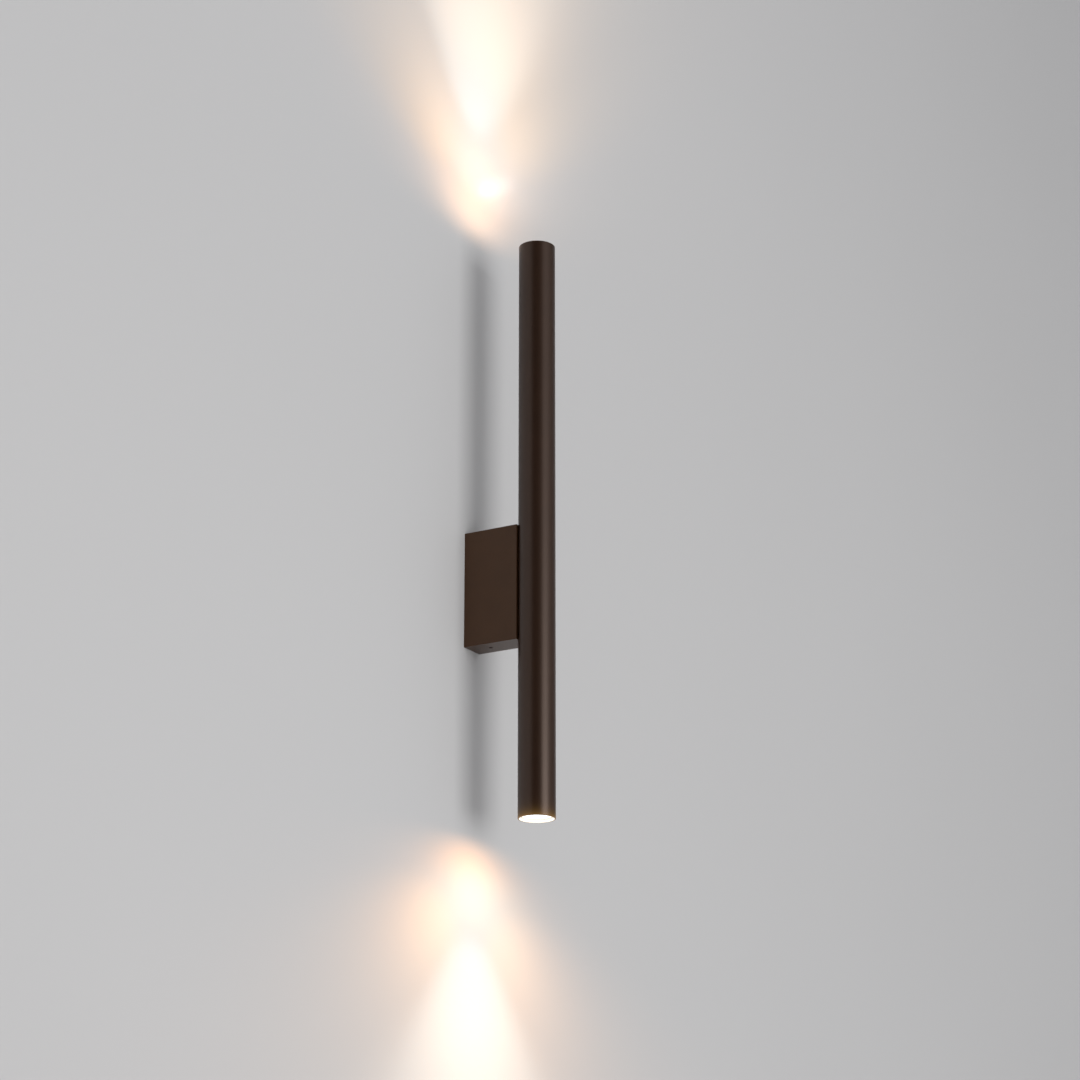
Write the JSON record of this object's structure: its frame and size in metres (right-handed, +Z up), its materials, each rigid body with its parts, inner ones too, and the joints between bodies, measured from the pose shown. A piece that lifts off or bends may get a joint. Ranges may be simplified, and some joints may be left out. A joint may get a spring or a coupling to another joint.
{
  "type": "wall light",
  "caption": "Slim round tube held off the wall by a narrow box, with an LED light in each end that shines up and down the wall.",
  "frame": {"origin": "on the wall plane, halfway between the two wall screws and at the middle of the box", "axes": "+Z up along the tube, +Y into the wall, so the light faces -Y; X = 0 is the plane of symmetry"},
  "size_m": [0.03, 0.0758, 0.485],
  "materials": {
    "brown_paint": "dark brown satin powder coat",
    "dark_screw": "blackened steel",
    "zinc_steel": "bright zinc plate",
    "brass": "turned brass",
    "black_rubber": "matt rubber",
    "white_moulding": "moulded, fine matt",
    "driver_moulding": "moulded, matt light grey",
    "black_moulding": "moulded nylon",
    "circuit_board": "green solder mask",
    "white_board": "white solder mask on an aluminium core",
    "ferrite": "sintered, matt",
    "capacitor_sleeve": "heat-shrink sleeve",
    "led_phosphor": "silicone over phosphor",
    "clear_acrylic": "polished clear acrylic",
    "lit_glass": "clear glass, lit from behind",
    "bare_aluminium": "turned aluminium",
    "supply_insulation": "PVC insulation",
    "earth_insulation": "PVC insulation, green with a yellow stripe",
    "light_lead_sheath": "silicone sheath"
  },
  "bodies": {
    "root": {"wall_box": "brown_paint", "tube": "brown_paint", "box_fixing_screws": "dark_screw", "wall_plate": "zinc_steel", "earth_lug": "zinc_steel", "tube_washers": "zinc_steel", "tube_screws": "zinc_steel", "driver_screws": "zinc_steel", "terminal_foot_screw": "zinc_steel", "earth_screw": "zinc_steel", "board_screws": "zinc_steel", "tube_nut_bar": "zinc_steel", "terminal_screws": "zinc_steel", "terminal_barrels": "brass", "cable_grommet": "black_rubber", "lower_seal_ring": "black_rubber", "upper_seal_ring": "black_rubber", "terminal_block": "white_moulding", "lower_lens_holder": "white_moulding", "upper_lens_holder": "white_moulding", "lower_lens_cap": "white_moulding", "upper_lens_cap": "white_moulding", "driver_case": "driver_moulding", "driver_lid": "driver_moulding", "lead_bush": "black_moulding", "driver_board": "circuit_board", "lower_led_board": "white_board", "upper_led_board": "white_board", "driver_transformer": "ferrite", "driver_capacitors": "capacitor_sleeve", "lower_led_chip": "led_phosphor", "upper_led_chip": "led_phosphor", "lower_lens": "clear_acrylic", "upper_lens": "clear_acrylic", "lower_cover_glass": "lit_glass", "upper_cover_glass": "lit_glass", "lower_heat_sink": "bare_aluminium", "upper_heat_sink": "bare_aluminium", "supply_leads": "supply_insulation", "earth_lead": "earth_insulation", "upper_lead": "light_lead_sheath", "lower_lead": "light_lead_sheath"}
  },
  "joints": []
}
